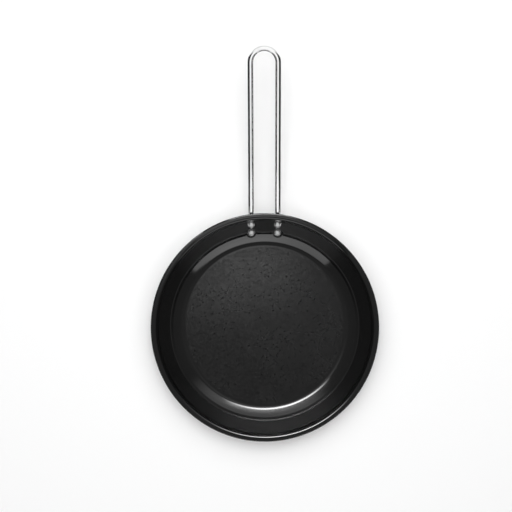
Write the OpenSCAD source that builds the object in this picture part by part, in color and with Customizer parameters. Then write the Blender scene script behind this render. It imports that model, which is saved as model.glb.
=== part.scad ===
// Omelette pan: a shallow pressed pan with a stepped wall and a flared lip, a steel disc
// let into its underside, and a bent wire handle held on a flat pad by four rivets.
// The origin is the centre of the disc's bottom face, +Z is up and the handle points along +Y.

/* [Pan] */
// Outer diameter over the lip
rim_d = 209.8; // [204:0.2:220]
// Thickness of the pressed aluminium sheet
sheet_t = 3; // [2.6:0.1:3.3]
// Width in plan of the floor's corner and the lower wall, from the corner's vertex to the ledge
lower_w = 9.2; // [8:0.1:11]
// Rise of the lower wall above the floor
lower_h = 7.2; // [6:0.1:8.5]
// Width in plan of the ledge that runs round the wall
ledge_w = 2.7; // [2.6:0.1:3.6]
// Rise of the ledge across its width
ledge_h = 0.6; // [0.4:0.1:0.8]
// Width in plan of the upper wall
wall_w = 9.2; // [8.6:0.1:10]
// Rise of the upper wall
wall_h = 17.3; // [16:0.1:19]
// Width in plan of the steep neck under the lip
neck_w = 1.8; // [1.4:0.1:2.4]
// Rise of the neck and the lip
neck_h = 8; // [7.6:0.1:10]
// Width in plan from the neck's vertex to the lip's outer edge
lip_w = 5.1; // [4.8:0.1:6]

/* [Rounding] */
// Radius inside the floor's corner
floor_corner_r = 11.5; // [8:0.5:12]
// Radius of the ledge's inner edge
ledge_edge_r = 0.8; // [0.5:0.1:1.5]
// Radius inside the corner from ledge to upper wall
ledge_corner_r = 0.8; // [0.5:0.1:1.5]
// Radius inside the bend from upper wall to neck
neck_bend_r = 3; // [1:0.5:6]
// Radius over the top of the flared lip
lip_r = 3.9; // [3.4:0.1:4.3]
// Radius on the lip's outer edge
lip_edge_r = 1.3; // [0.6:0.1:1.3]

/* [Base disc] */
// Width of the flat ring that the pan's underside keeps round the disc
disc_margin = 6.9; // [4:0.1:20]
// Thickness of the steel disc
disc_t = 1.5; // [1:0.1:2]
// How far the disc stands proud of the pan's underside
disc_proud = 0.5; // [0.3:0.1:0.8]
// Chamfer on the disc's bottom edge
disc_chamfer = 0.3; // [0.1:0.1:0.5]

/* [Handle pad] */
// Width of the flat pressed in the upper wall for the handle, at the wall's foot
pad_w = 32; // [31:0.5:35]

/* [Handle] */
// Diameter of the wire
wire_d = 4.8; // [4.2:0.1:5.2]
// Distance between the two legs, centre to centre
leg_spacing = 24.6; // [20:0.2:25]
// Length of each leg's straight part
leg_len = 136.4; // [90:0.2:180]
// Angle of the handle above level, in degrees
handle_angle = 18; // [12:1:24]
// Radius of the bend under the lip, at the wire's centre
bend_r = 8; // [7:0.5:9]
// Width of the flattened ends
tab_w = 8; // [7.4:0.1:8.6]
// Thickness of the flattened ends
tab_t = 2.3; // [1.8:0.1:2.6]
// Length of the flat beyond the upper rivet's centre
tab_top = 2.9; // [2.9:0.1:3.4]
// Length in which the flat becomes round wire
taper_len = 2.4; // [1.8:0.1:2.8]

/* [Rivets] */
// Distance between the rivets of one leg, along the wall
rivet_pitch = 15; // [13:0.1:15.2]
// Height of the lower rivets up the pad from the wall's foot
rivet_low = 1.3; // [1.1:0.1:2]
// Diameter of the shank
shank_d = 3.2; // [2.8:0.1:3.6]
// Diameter of the dome head inside the pan
head_d = 7.6; // [6:0.1:8]
// Height of the dome head
head_h = 3.5; // [2.4:0.1:3.7]
// Diameter of the formed head outside
tail_d = 5.6; // [5:0.1:5.8]
// Height of the formed head
tail_h = 1.5; // [1:0.1:2]

/* [Fits] */
// Gap between faces that seat on each other
seat_gap = 0.05; // [0.02:0.01:0.1]
// Clearance round a shank in its holes
shank_fit = 0.05; // [0.02:0.01:0.1]
// Clearance round the disc in its recess
disc_fit = 0.1; // [0.05:0.05:0.3]
// Clearance round a dome head where it cuts into the ledge
head_fit = 0.3; // [0.2:0.05:0.5]

/* [Hidden] */
$fn = 96;
facets_round = 8;
facets_crease = 4;
taper_fn = 32;
thin = 0.02;
least_r = 0.1;
// How far a cutting or filling shape passes the face that it meets
over = 1;

coating_black = [0.1, 0.1, 0.1];
disc_grey = [0.7, 0.7, 0.71];
wire_grey = [0.8, 0.8, 0.81];
rivet_grey = [0.85, 0.85, 0.86];

// Heights and radii of the sheet's inner face, from the floor to the lip
rim_r = rim_d / 2;
floor_z = disc_proud + sheet_t;
ledge_z = floor_z + lower_h;
wall_z = ledge_z + ledge_h;
neck_z = wall_z + wall_h;
rim_z = neck_z + neck_h;
lip_in_r = rim_r - lip_w;
neck_r = lip_in_r - neck_w;
wall_r = neck_r - wall_w;
ledge_r = wall_r - ledge_w;
foot_r = ledge_r - lower_w;
lower_slope = atan2(lower_h, lower_w);
wall_slope = atan2(wall_h, wall_w);
edge_round = min(lip_edge_r, sheet_t / 2 - thin);

// The pad is a plane parallel to the upper wall, through a chord at the wall's foot
pad_y = sqrt(wall_r * wall_r - pad_w * pad_w / 4);
pad_rise = rim_z - wall_z;

// The disc and its recess, inside the flat of the floor
floor_flat_r = foot_r - floor_corner_r * tan(lower_slope / 2);
disc_r = floor_flat_r - disc_margin;
recess_r = disc_r + disc_fit;
recess_z = disc_t + seat_gap;

// Handle and rivets, in the pad's frame
leg_x = leg_spacing / 2;
wire_r = wire_d / 2;
tab_y = sheet_t + seat_gap;
wire_y = tab_y + wire_r;
tab_end_z = rivet_low + rivet_pitch + tab_top;
bend_z = tab_end_z + taper_len;
bend_turn = wall_slope - handle_angle;
hole_r = shank_d / 2 + shank_fit;
grip = tab_y + tab_t + seat_gap;

function unit(v) = v / norm(v);
function outward(a, b) = [unit(b - a)[1], -unit(b - a)[0]];
function turn_of(a, b, c) = cross(unit(b - a), unit(c - b));
function wrapped(angle) = angle > 180 ? angle - 360 : angle < -180 ? angle + 360 : angle;

// The corner at b between a and c, drawn as an arc of radius r in n steps
function rounded(a, b, c, r, n) =
    let (
        u = unit(a - b),
        v = unit(c - b),
        half = acos(u * v) / 2,
        centre = b + unit(u + v) * r / sin(half),
        from = b + u * r / tan(half) - centre,
        to = b + v * r / tan(half) - centre,
        start = atan2(from[1], from[0]),
        sweep = wrapped(atan2(to[1], to[0]) - start)
    )
    [for (i = [0:n]) centre + r * [cos(start + sweep * i / n), sin(start + sweep * i / n)]];

// A path with each inner point rounded: points [x, z], radii and steps for the inner ones
function rounded_path(points, radii, steps) =
    [for (i = [1:len(points) - 2])
        each rounded(points[i - 1], points[i], points[i + 1], radii[i - 1], steps[i - 1])];

// The same path one sheet thickness further out
function outer_corner(a, b, c) =
    let (m = outward(a, b), n = outward(b, c))
    b + sheet_t * (m + n) / (1 + m * n);
function outer_radius(a, b, c, r) = turn_of(a, b, c) > 0 ? r + sheet_t : max(r - sheet_t, least_r);

inner_points = [
    [0, floor_z],
    [foot_r, floor_z],
    [ledge_r, ledge_z],
    [wall_r, wall_z],
    [neck_r, neck_z],
    [lip_in_r, rim_z],
    [rim_r, rim_z],
];
inner_radii = [floor_corner_r, ledge_edge_r, ledge_corner_r, neck_bend_r, lip_r];
path_steps = [facets_round, facets_crease, facets_round, facets_crease, facets_round];
last = len(inner_points) - 1;
outer_points = [
    [0, disc_proud],
    for (i = [1:last - 1]) outer_corner(inner_points[i - 1], inner_points[i], inner_points[i + 1]),
    [rim_r, rim_z - sheet_t],
];
outer_radii = [
    for (i = [1:last - 1])
        outer_radius(inner_points[i - 1], inner_points[i], inner_points[i + 1], inner_radii[i - 1])
];
lip_edge = [[lip_in_r, rim_z], [rim_r, rim_z], [rim_r, rim_z - sheet_t], [lip_in_r, rim_z - sheet_t]];

function reversed(points) = [for (i = [len(points) - 1:-1:0]) points[i]];

pan_section = concat(
    [[0, floor_z]],
    rounded_path(inner_points, inner_radii, path_steps),
    rounded_path(lip_edge, [edge_round, edge_round], [facets_crease, facets_crease]),
    reversed(rounded_path(outer_points, outer_radii, path_steps)),
    [[recess_r, disc_proud], [recess_r, recess_z], [0, recess_z]]
);

// Moves its children to the pad: X across, Y out through the wall and Z up along it
module on_pad() {
    translate([0, pad_y, wall_z]) rotate([wall_slope - 90, 0, 0]) children();
}

// Moves its children to a rivet's axis on the pad, with Z out through the wall
module at_rivet(side, row) {
    on_pad()
        translate([side * leg_x, 0, rivet_low + row * rivet_pitch])
            rotate([-90, 0, 0]) children();
}

// Moves its children past the bend under the lip, with Z along the handle
module on_leg() {
    on_pad()
        translate([0, wire_y + bend_r, bend_z])
            rotate([-bend_turn, 0, 0])
                translate([0, -bend_r, 0]) children();
}

// Half outline of a domed head of diameter d and height h, standing on the X axis
module dome_half(d, h) {
    sphere_r = (d * d / 4 + h * h) / (2 * h);
    intersection() {
        translate([0, h - sphere_r]) circle(r = sphere_r);
        square([d / 2, h]);
    }
}

// The pan, with the flat pad let into its wall, the rivet holes and the seats of the dome heads
module pan_body() {
    fill_w = pad_w + 4 * over;
    fill_t = sheet_t - over;
    relief_w = 2 * pad_w;
    relief_t = 2 * sheet_t;
    relief_low = lower_h + ledge_h;
    pad_top = (pad_rise - sheet_t) / sin(wall_slope);
    color(coating_black) difference() {
        union() {
            rotate_extrude() polygon(pan_section);
            on_pad() translate([-fill_w / 2, 0, -over]) cube([fill_w, fill_t, over + pad_top]);
        }
        on_pad() translate([-relief_w / 2, sheet_t, -relief_low])
            cube([relief_w, relief_t, relief_low + pad_top]);
        for (side = [-1, 1], row = [0, 1]) at_rivet(side, row) {
            translate([0, 0, -over]) cylinder(r = hole_r, h = sheet_t + 2 * over);
            translate([0, 0, -head_h - over]) cylinder(r = head_d / 2 + head_fit, h = head_h + over);
        }
    }
}

// The disc under the pan, flat on its recess
module base_plate() {
    color(disc_grey) rotate_extrude() polygon([
        [0, 0],
        [disc_r - disc_chamfer, 0],
        [disc_r, disc_chamfer],
        [disc_r, disc_t],
        [0, disc_t],
    ]);
}

// One flattened end with its two holes, and its taper to round wire
module tab() {
    tab_r = tab_w / 2;
    flat_len = tab_end_z - rivet_low;
    difference() {
        union() {
            translate([0, tab_y + tab_t, rivet_low]) rotate([90, 0, 0]) linear_extrude(tab_t) {
                circle(r = tab_r);
                translate([-tab_r, 0]) square([tab_w, flat_len]);
            }
            hull() {
                translate([-tab_r, tab_y, tab_end_z - thin]) cube([tab_w, tab_t, thin]);
                translate([0, wire_y, bend_z])
                    cylinder(r = wire_r - thin, h = thin, $fn = taper_fn);
            }
        }
        for (row = [0, 1]) translate([0, 0, rivet_low + row * rivet_pitch])
            rotate([-90, 0, 0]) cylinder(r = hole_r, h = grip + tab_t);
    }
}

// The handle: two flattened ends, two bends, two straight legs and the half ring at the tip
module wire_handle() {
    color(wire_grey) {
        for (side = [-1, 1]) on_pad() translate([side * leg_x, 0, 0]) tab();
        on_leg() {
            for (side = [-1, 1]) translate([side * leg_x, 0, 0]) {
                translate([0, bend_r, 0]) rotate([-90, 0, -90])
                    rotate_extrude(angle = bend_turn) translate([bend_r, 0]) circle(r = wire_r);
                cylinder(r = wire_r, h = leg_len);
            }
            translate([0, 0, leg_len]) rotate([90, 0, 0])
                rotate_extrude(angle = 180) translate([leg_x, 0]) circle(r = wire_r);
        }
    }
}

// A rivet with its dome head inside the pan and its formed head on the wire's flattened end
module rivet(side, row) {
    color(rivet_grey) at_rivet(side, row) rotate_extrude() {
        translate([0, -seat_gap]) mirror([0, 1]) dome_half(head_d, head_h);
        translate([0, -seat_gap]) square([shank_d / 2, grip + seat_gap]);
        translate([0, grip]) dome_half(tail_d, tail_h);
    }
}

function rivet_name(side, row) =
    str("rivet_", row == 0 ? "lower" : "upper", side < 0 ? "_left" : "_right");

pan_body();
base_plate();
wire_handle();
for (side = [-1, 1], row = [1, 0])
    rivet(side, row);
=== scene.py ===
"""Looks, camera and light of the omelette pan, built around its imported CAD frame.

The pan, its base disc, its wire handle and its rivets are made again as smooth meshes on the places
and sizes of their CAD pieces. Sizes are in millimetres, and the finished meshes are in metres.
"""

import logging
import math
from dataclasses import dataclass, field
from enum import Enum
from functools import cache

import bmesh
import bpy
import numpy as np
from mathutils import Matrix, Vector


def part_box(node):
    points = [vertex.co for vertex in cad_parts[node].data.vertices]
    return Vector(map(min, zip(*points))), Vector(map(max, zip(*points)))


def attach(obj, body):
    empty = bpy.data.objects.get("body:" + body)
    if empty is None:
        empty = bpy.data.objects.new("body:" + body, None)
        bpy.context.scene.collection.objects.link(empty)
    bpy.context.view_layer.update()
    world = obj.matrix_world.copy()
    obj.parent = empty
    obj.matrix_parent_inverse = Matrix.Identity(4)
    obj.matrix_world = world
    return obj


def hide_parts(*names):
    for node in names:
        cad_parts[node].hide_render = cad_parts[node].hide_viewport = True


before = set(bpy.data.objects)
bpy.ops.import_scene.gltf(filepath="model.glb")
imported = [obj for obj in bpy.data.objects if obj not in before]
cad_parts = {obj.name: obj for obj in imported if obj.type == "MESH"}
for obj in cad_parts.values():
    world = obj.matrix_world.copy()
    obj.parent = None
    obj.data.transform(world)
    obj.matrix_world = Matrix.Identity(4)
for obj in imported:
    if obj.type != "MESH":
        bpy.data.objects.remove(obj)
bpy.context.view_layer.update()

MM = 0.001
BODY = "root"
WHITE = (1.0, 1.0, 1.0, 1.0)
Places = tuple[tuple[float, float, float], ...]
LOG = logging.getLogger("omelette_pan")


class Slot(Enum):
    """The record's material slots."""

    COATED_PAN = "coated_pan"
    BASE_STEEL = "base_steel"
    WIRE_STEEL = "wire_steel"
    RIVET_STEEL = "rivet_steel"


class Side(Enum):
    """The two legs of the handle, by the sign of their X."""

    LEFT = -1
    RIGHT = 1


class Row(Enum):
    """The two rivets of each leg, from the pan's floor upwards."""

    LOWER = 0
    UPPER = 1


class Lines(Enum):
    """How the tool lines in a steel piece run."""

    TURNED = "rings about the Z axis"
    SWEPT = "along the wire"


def smoothstep(low: float, high: float, value: np.ndarray) -> np.ndarray:
    """Rises smoothly from 0 to 1.

    Args:
        low: Where the rise starts.
        high: Where the rise ends.
        value: The values to turn into shares.

    Returns:
        A share from 0 to 1 for each value.
    """
    t = np.clip((value - low) / (high - low), 0, 1)
    return t * t * (3 - 2 * t)


def placed(name: str, data: bpy.types.ID) -> bpy.types.Object:
    """Makes an object from data, such as a mesh or a lamp, and links it to the scene.

    Args:
        name: The object's name.
        data: What it shows.

    Returns:
        The object.
    """
    item = bpy.data.objects.new(name, data)
    bpy.context.scene.collection.objects.link(item)
    return item


class Outline:
    """A chain of straight stretches in the (r, z) plane whose corners are rounded."""

    SAME = 1e-6

    def __init__(self, start: tuple[float, float], turn_step: float, longest: float) -> None:
        """Starts the chain.

        Args:
            start: The first point, as radius and height.
            turn_step: The most degrees between two points of an arc.
            longest: The longest stretch between two points.
        """
        self.corners: list[tuple[np.ndarray, float]] = [(np.array(start, float), 0.0)]
        self.turn_step = turn_step
        self.longest = longest

    def to(self, r: float, z: float, radius: float = 0.0) -> "Outline":
        """Adds a corner with a rounding radius and returns the chain itself."""
        self.corners.append((np.array((r, z), float), radius))
        return self

    def _arc(self, i: int) -> list[np.ndarray]:
        """The points that stand for corner i.

        Args:
            i: The corner's place in the chain.

        Returns:
            The corner itself, or the points of its arc.
        """
        point, radius = self.corners[i]
        if radius <= 0 or i in (0, len(self.corners) - 1):
            return [point]
        before = self.corners[i - 1][0] - point
        after = self.corners[i + 1][0] - point
        u, v = before / np.linalg.norm(before), after / np.linalg.norm(after)
        half = math.acos(float(np.clip(u @ v, -1, 1))) / 2
        centre = point + (u + v) / np.linalg.norm(u + v) * radius / math.sin(half)
        first = point + u * radius / math.tan(half) - centre
        last = point + v * radius / math.tan(half) - centre
        start = math.atan2(first[1], first[0])
        sweep = (math.atan2(last[1], last[0]) - start + math.pi) % math.tau - math.pi
        steps = max(2, math.ceil(abs(math.degrees(sweep)) / self.turn_step))
        angles = [start + sweep * k / steps for k in range(steps + 1)]
        return [centre + radius * np.array((math.cos(a), math.sin(a))) for a in angles]

    def points(self) -> np.ndarray:
        """The outline's points, with long stretches split.

        Returns:
            Radius and height of each point.
        """
        rough = [p for i in range(len(self.corners)) for p in self._arc(i)]
        out = [rough[0]]
        for p in rough[1:]:
            gap = float(np.linalg.norm(p - out[-1]))
            if gap < self.SAME:
                continue
            parts = max(1, math.ceil(gap / self.longest))
            begin = out[-1]
            out += [begin + (p - begin) * k / parts for k in range(1, parts + 1)]
        return np.array(out)


@dataclass
class PanSizes:
    """The pressed sheet's sizes in millimetres, measured from the floor's middle outwards.

    The radii and heights at the end are those of the inner face's corners: foot is between floor and
    lower wall, ledge is the ledge's inner edge, wall and neck are where those stretches begin, and
    lip_in is where the neck turns into the lip.
    """

    sheet_t: float = 3.0
    lower_w: float = 9.2
    lower_h: float = 7.2
    ledge_w: float = 2.7
    ledge_h: float = 0.6
    wall_w: float = 9.2
    wall_h: float = 17.3
    neck_w: float = 1.8
    neck_h: float = 8.0
    lip_w: float = 5.1
    floor_corner_r: float = 11.5
    ledge_edge_r: float = 0.8
    ledge_corner_r: float = 0.8
    neck_bend_r: float = 3.0
    lip_r: float = 3.9
    lip_edge_r: float = 1.3
    disc_margin: float = 6.9
    disc_proud: float = 0.5
    disc_t: float = 1.5
    disc_fit: float = 0.1
    seat_gap: float = 0.05
    pad_w: float = 32.0
    least_r: float = 0.1
    rim_r: float = field(init=False)
    lip_in_r: float = field(init=False)
    neck_r: float = field(init=False)
    wall_r: float = field(init=False)
    ledge_r: float = field(init=False)
    foot_r: float = field(init=False)
    floor_z: float = field(init=False)
    ledge_z: float = field(init=False)
    wall_z: float = field(init=False)
    neck_z: float = field(init=False)
    rim_z: float = field(init=False)

    def __post_init__(self) -> None:
        """Takes the rim's radius from the CAD pan and adds up the other radii and heights."""
        self.rim_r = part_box("pan_body")[1].x / MM
        self.lip_in_r = self.rim_r - self.lip_w
        self.neck_r = self.lip_in_r - self.neck_w
        self.wall_r = self.neck_r - self.wall_w
        self.ledge_r = self.wall_r - self.ledge_w
        self.foot_r = self.ledge_r - self.lower_w
        self.floor_z = self.disc_proud + self.sheet_t
        self.ledge_z = self.floor_z + self.lower_h
        self.wall_z = self.ledge_z + self.ledge_h
        self.neck_z = self.wall_z + self.wall_h
        self.rim_z = self.neck_z + self.neck_h

    @property
    def lower_slope(self) -> float:
        """Slope of the lower wall, in radians."""
        return math.atan2(self.lower_h, self.lower_w)

    @property
    def wall_slope(self) -> float:
        """Slope of the upper wall, in radians."""
        return math.atan2(self.wall_h, self.wall_w)

    @property
    def floor_flat_r(self) -> float:
        """Radius at which the flat floor ends."""
        return self.foot_r - self.floor_corner_r * math.tan(self.lower_slope / 2)

    @property
    def disc_r(self) -> float:
        """Radius of the steel disc under the pan."""
        return self.floor_flat_r - self.disc_margin

    @property
    def pad_y(self) -> float:
        """Distance of the pad's plane from the pan's axis, at the upper wall's foot."""
        return math.sqrt(self.wall_r**2 - (self.pad_w / 2) ** 2)

    def inner_corners(self) -> list[tuple[float, float, float]]:
        """Radius, height and rounding of each corner of the sheet's inner face."""
        return [
            (0.0, self.floor_z, 0.0),
            (self.foot_r, self.floor_z, self.floor_corner_r),
            (self.ledge_r, self.ledge_z, self.ledge_edge_r),
            (self.wall_r, self.wall_z, self.ledge_corner_r),
            (self.neck_r, self.neck_z, self.neck_bend_r),
            (self.lip_in_r, self.rim_z, self.lip_r),
            (self.rim_r, self.rim_z, self.lip_edge_r),
        ]

    def outer_corners(self) -> list[tuple[float, float, float]]:
        """The same corners one sheet thickness further out, from the lip back to the floor.

        Returns:
            Radius, height and rounding of each corner.
        """
        inner = [np.array(c[:2]) for c in self.inner_corners()]
        out: list[tuple[float, float, float]] = [(self.rim_r, self.rim_z - self.sheet_t, self.lip_edge_r)]
        for i in range(len(inner) - 2, 0, -1):
            a = inner[i] - inner[i - 1]
            b = inner[i + 1] - inner[i]
            a, b = a / np.linalg.norm(a), b / np.linalg.norm(b)
            m, n = np.array((a[1], -a[0])), np.array((b[1], -b[0]))
            corner = inner[i] + self.sheet_t * (m + n) / (1 + m @ n)
            left_turn = a[0] * b[1] - a[1] * b[0] > 0
            radius = self.inner_corners()[i][2]
            grown = radius + self.sheet_t if left_turn else max(radius - self.sheet_t, self.least_r)
            out.append((float(corner[0]), float(corner[1]), grown))
        return out


@dataclass
class JointSizes:
    """Sizes of the handle, the rivets and their seats on the pad, in millimetres."""

    wire_d: float = 4.8
    leg_spacing: float = 24.6
    leg_len: float = 136.4
    handle_angle: float = 18.0
    bend_r: float = 8.0
    tab_w: float = 8.0
    tab_t: float = 2.3
    tab_top: float = 2.9
    taper_len: float = 2.4
    rivet_pitch: float = 15.0
    rivet_low: float = 1.3
    shank_d: float = 3.2
    head_d: float = 7.6
    head_h: float = 3.5
    tail_d: float = 5.6
    tail_h: float = 1.5
    head_fit: float = 0.3

    @property
    def leg_x(self) -> float:
        """Distance of each leg's centre line from the middle plane."""
        return self.leg_spacing / 2


class PadFrame:
    """The flat pad's own axes: X across, Y out through the wall, Z up along the wall."""

    def __init__(self, pan: PanSizes) -> None:
        """Places the axes on the pan's wall.

        Args:
            pan: The pan whose wall holds the pad.
        """
        slope = pan.wall_slope
        self.origin = np.array((0.0, pan.pad_y, pan.wall_z))
        self.across = np.array((1.0, 0.0, 0.0))
        self.out = np.array((0.0, math.sin(slope), -math.cos(slope)))
        self.up = np.array((0.0, math.cos(slope), math.sin(slope)))

    def point(self, x: float, out: float, up: float) -> np.ndarray:
        """A point given along the three axes."""
        return self.origin + x * self.across + out * self.out + up * self.up


class Tree:
    """A geometry or shader node tree that is put together line by line."""

    def __init__(self, tree: bpy.types.NodeTree) -> None:
        """Wraps the tree.

        Args:
            tree: The node tree to build in.
        """
        self.tree = tree

    @classmethod
    def geometry(cls, name: str, inputs: dict[str, str]) -> "Tree":
        """Makes a geometry tree with a Geometry input and output and the named inputs.

        Args:
            name: The tree's name.
            inputs: Socket type for each further input's name.

        Returns:
            The wrapped tree.
        """
        tree = bpy.data.node_groups.new(name, "GeometryNodeTree")
        tree.interface.new_socket("Geometry", in_out="INPUT", socket_type="NodeSocketGeometry")
        for label, kind in inputs.items():
            tree.interface.new_socket(label, in_out="INPUT", socket_type=kind)
        tree.interface.new_socket("Geometry", in_out="OUTPUT", socket_type="NodeSocketGeometry")
        return cls(tree)

    @classmethod
    def material(cls, name: str) -> tuple["Tree", bpy.types.Material]:
        """Makes an empty material.

        Args:
            name: The material's name.

        Returns:
            Its wrapped tree and the material.
        """
        material = bpy.data.materials.new(name)
        material.use_nodes = True
        material.node_tree.nodes.clear()
        return cls(material.node_tree), material

    @classmethod
    def finish(cls, name: str) -> tuple["Tree", bpy.types.Node, bpy.types.Material]:
        """Makes a material with one Principled BSDF.

        Args:
            name: The material's name.

        Returns:
            Its wrapped tree, its Principled BSDF and the material.
        """
        t, material = cls.material(name)
        shader = t.add("ShaderNodeBsdfPrincipled")
        t.add("ShaderNodeOutputMaterial", shader.outputs[0])
        return t, shader, material

    @classmethod
    def shader_group(cls, name: str, inputs: dict[str, float], outputs: tuple[str, ...]) -> "Tree":
        """Makes a shader group whose first input is called Vector.

        Args:
            name: The group's name.
            inputs: The name of each further input, with its default value.
            outputs: The outputs' names.

        Returns:
            The wrapped group.
        """
        tree = bpy.data.node_groups.new(name, "ShaderNodeTree")
        tree.interface.new_socket("Vector", in_out="INPUT", socket_type="NodeSocketVector")
        for label, default in inputs.items():
            socket = tree.interface.new_socket(label, in_out="INPUT", socket_type="NodeSocketFloat")
            socket.default_value = default
        for label in outputs:
            tree.interface.new_socket(label, in_out="OUTPUT", socket_type="NodeSocketFloat")
        return cls(tree)

    def add(self, kind: str, *values: object, **options: object) -> bpy.types.Node:
        """Adds a node.

        Args:
            kind: The node's type.
            values: What its inputs get in order: a socket to link, a number, or None to leave it.
            options: The node's own settings, and inputs by name as a dictionary under "by_name".

        Returns:
            The new node.
        """
        by_name = options.pop("by_name", {})
        node = self.tree.nodes.new(kind)
        for key, value in options.items():
            setattr(node, key, value)
        for socket, value in zip(node.inputs, values):
            self.feed(socket, value)
        for label, value in by_name.items():
            self.feed(node.inputs[label], value)
        return node

    def feed(self, socket: bpy.types.NodeSocket, value: object) -> None:
        """Links a socket to value, or sets it to value.

        Args:
            socket: The input socket.
            value: Another node's output, a plain value, or None to leave it.
        """
        if value is None:
            return
        if isinstance(value, bpy.types.NodeSocket):
            self.tree.links.new(value, socket)
        else:
            socket.default_value = value

    def math(self, operation: str, *values: object) -> bpy.types.NodeSocket:
        """The result of a Math node."""
        return self.add("ShaderNodeMath", *values, operation=operation).outputs[0]

    def vector(self, operation: str, *values: object) -> bpy.types.NodeSocket:
        """The vector that a Vector Math node puts out."""
        return self.add("ShaderNodeVectorMath", *values, operation=operation).outputs["Vector"]

    def scaled(self, vector: object, factor: object) -> bpy.types.NodeSocket:
        """A vector times a number."""
        node = self.add("ShaderNodeVectorMath", vector, operation="SCALE", by_name={"Scale": factor})
        return node.outputs["Vector"]

    def attribute(self, name: str, kind: str) -> bpy.types.NodeSocket:
        """A named attribute in a geometry tree."""
        node = self.add("GeometryNodeInputNamedAttribute", name, data_type=kind)
        return node.outputs["Attribute"]

    def noise(self, place: object, scale: object, detail: float,
              roughness: float = 0.5) -> bpy.types.Node:
        """A Noise Texture node at a place."""
        return self.add("ShaderNodeTexNoise", by_name={
            "Vector": place, "Scale": scale, "Detail": detail, "Roughness": roughness})

    def mix(self, share: object, first: object, second: object) -> bpy.types.NodeSocket:
        """A number between first and second.

        Args:
            share: 0 for first and 1 for second.
            first: The number at 0.
            second: The number at 1.

        Returns:
            The number.
        """
        node = self.add("ShaderNodeMix", data_type="FLOAT", by_name={"Factor": share})
        self.feed(node.inputs[2], first)
        self.feed(node.inputs[3], second)
        return node.outputs[0]

    def grey(self, share: object, low: float, high: float) -> bpy.types.NodeSocket:
        """A grey between two levels.

        Args:
            share: 0 for low and 1 for high.
            low: The level at 0.
            high: The level at 1.

        Returns:
            The grey.
        """
        node = self.add("ShaderNodeMix", data_type="RGBA", by_name={"Factor": share})
        self.feed(node.inputs[6], (low, low, low, 1.0))
        self.feed(node.inputs[7], (high, high, high, 1.0))
        return node.outputs[2]

    def bump(self, height: object, distance: float) -> bpy.types.NodeSocket:
        """The normal that a Bump node puts out."""
        node = self.add("ShaderNodeBump", by_name={"Strength": 1.0, "Distance": distance, "Height": height})
        return node.outputs["Normal"]

    def group(self, tree: bpy.types.NodeTree, **values: object) -> bpy.types.Node:
        """A shared effect, whose inputs are given by name with underscores for spaces."""
        by_name = {label.replace("_", " "): value for label, value in values.items()}
        return self.add("ShaderNodeGroup", node_tree=tree, by_name=by_name)

    def axis_distance(self, place: object) -> bpy.types.NodeSocket:
        """How far a place is from the Z axis.

        Args:
            place: The place.

        Returns:
            The distance.
        """
        parts = self.add("ShaderNodeSeparateXYZ", place).outputs
        flat = self.add("ShaderNodeCombineXYZ", parts[0], parts[1]).outputs[0]
        return self.add("ShaderNodeVectorMath", flat, operation="LENGTH").outputs["Value"]

    def span(self, value: object, low: float, high: float, start: float = 0.0, end: float = 1.0,
             smooth: bool = True) -> bpy.types.NodeSocket:
        """Maps a value from one range to another and holds it at the ends."""
        node = self.add("ShaderNodeMapRange", value, low, high, start, end,
                        interpolation_type="SMOOTHSTEP" if smooth else "LINEAR")
        return node.outputs["Result"]


class TurnedForm:
    """Turns an outline about the Z axis with Geometry Nodes."""

    @staticmethod
    @cache
    def tree() -> Tree:
        """The turning tree, built once.

        Returns:
            The wrapped tree.
        """
        t = Tree.geometry("turn_outline", {
            "Segments": "NodeSocketInt",
            "Crowding": "NodeSocketFloat",
            "Material": "NodeSocketMaterial",
        })
        given = t.add("NodeGroupInput").outputs
        outline = t.add("GeometryNodeMeshToCurve", given["Geometry"]).outputs[0]
        ring = Finisher.ring(t, given["Segments"], "turn")
        shell = t.add("GeometryNodeCurveToMesh", ring, outline).outputs[0]
        even = t.math("MULTIPLY", t.attribute("turn", "FLOAT"), math.tau)
        crowd = t.math("MULTIPLY", t.math("SINE", even), given["Crowding"])
        angle = t.math("SUBTRACT", even, crowd)
        place = t.add("ShaderNodeSeparateXYZ", t.attribute("place", "FLOAT_VECTOR")).outputs
        x = t.math("MULTIPLY", place[0], t.math("SINE", angle))
        y = t.math("MULTIPLY", place[0], t.math("COSINE", angle))
        spot = t.add("ShaderNodeCombineXYZ", x, y, place[2]).outputs[0]
        Finisher.end(t, shell, spot, given["Material"], ("turn", "place"))
        return t

    @classmethod
    def build(cls, name: str, outline: np.ndarray, segments: int, material: bpy.types.Material,
              crowding: float = 0.0, marks: dict[str, np.ndarray] | None = None) -> bpy.types.Object:
        """Turns an outline into a closed mesh.

        Args:
            name: The piece's name.
            outline: Points as radius and height, in millimetres.
            segments: How many steps the full turn has.
            material: The finish.
            crowding: How much closer the steps lie at +Y than at -Y, from 0 to 1.
            marks: Named numbers for each outline point that the mesh keeps.

        Returns:
            The finished piece.
        """
        points = [(r * MM, 0.0, z * MM) for r, z in outline]
        chain = Finisher.chain(name + "_outline", points, {**(marks or {}), "place": np.array(points)})
        inputs = {"Segments": segments, "Crowding": crowding, "Material": material}
        return Finisher.realise(name, chain, cls.tree(), inputs)


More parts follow.
